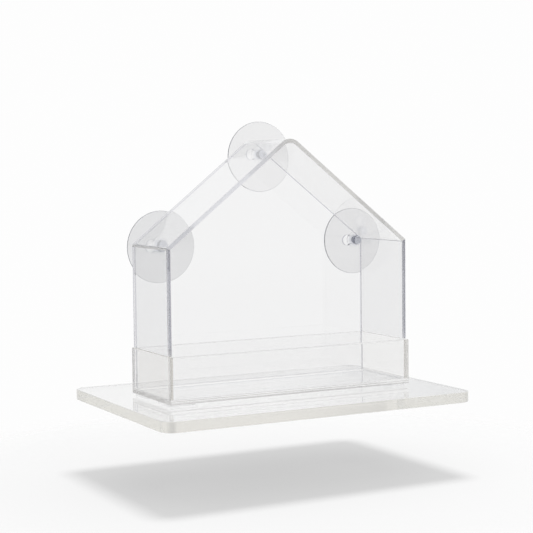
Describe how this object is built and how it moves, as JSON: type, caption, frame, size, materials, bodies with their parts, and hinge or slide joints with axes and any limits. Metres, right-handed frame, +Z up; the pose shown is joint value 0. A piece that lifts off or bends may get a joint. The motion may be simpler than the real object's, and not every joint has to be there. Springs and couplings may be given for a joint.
{
  "type": "window bird feeder",
  "caption": "Clear house-shaped window bird feeder with an open front, a seed tray on a rounded deck, and suction cups hooked into keyholes in the back panel.",
  "frame": {"origin": "middle of the deck's underside, which is the middle of the object's footprint", "axes": "+X along the width of the house, to the right seen from the open front; +Y from the open front to the window; +Z up"},
  "size_m": [0.252, 0.176, 0.2121],
  "materials": {
    "clear_sheet": "clear polished acrylic sheet, edges polished",
    "clear_deck": "thick clear polished acrylic, faintly warm green at its edges",
    "clear_pad": "clear smooth pad",
    "soft_vinyl": "soft clear vinyl, slightly hazy"
  },
  "bodies": {
    "base": {"deck_plate": "clear_deck", "riser_pad_front_left": "clear_pad", "riser_pad_front_right": "clear_pad", "riser_pad_back_left": "clear_pad", "riser_pad_back_right": "clear_pad", "tray_channel": "clear_sheet", "tray_end_left": "clear_sheet", "tray_end_right": "clear_sheet"},
    "house": {"side_wall_left": "clear_sheet", "side_wall_right": "clear_sheet", "back_panel": "clear_sheet", "roof_sheet": "clear_sheet"},
    "cup_left": {"suction_cup_left": "soft_vinyl"},
    "cup_ridge": {"suction_cup_ridge": "soft_vinyl"},
    "cup_right": {"suction_cup_right": "soft_vinyl"}
  },
  "joints": [
    {"name": "house_lift", "type": "slide", "parent": "base", "child": "house", "axis": [0, 0, 1], "range_m": [0, 0.05]},
    {"name": "cup_left_slide", "type": "slide", "parent": "house", "child": "cup_left", "axis": [-1, 0, 0], "range_m": [0, 0.008]},
    {"name": "cup_ridge_slide", "type": "slide", "parent": "house", "child": "cup_ridge", "axis": [-1, 0, 0], "range_m": [0, 0.008]},
    {"name": "cup_right_slide", "type": "slide", "parent": "house", "child": "cup_right", "axis": [-1, 0, 0], "range_m": [0, 0.008]}
  ]
}
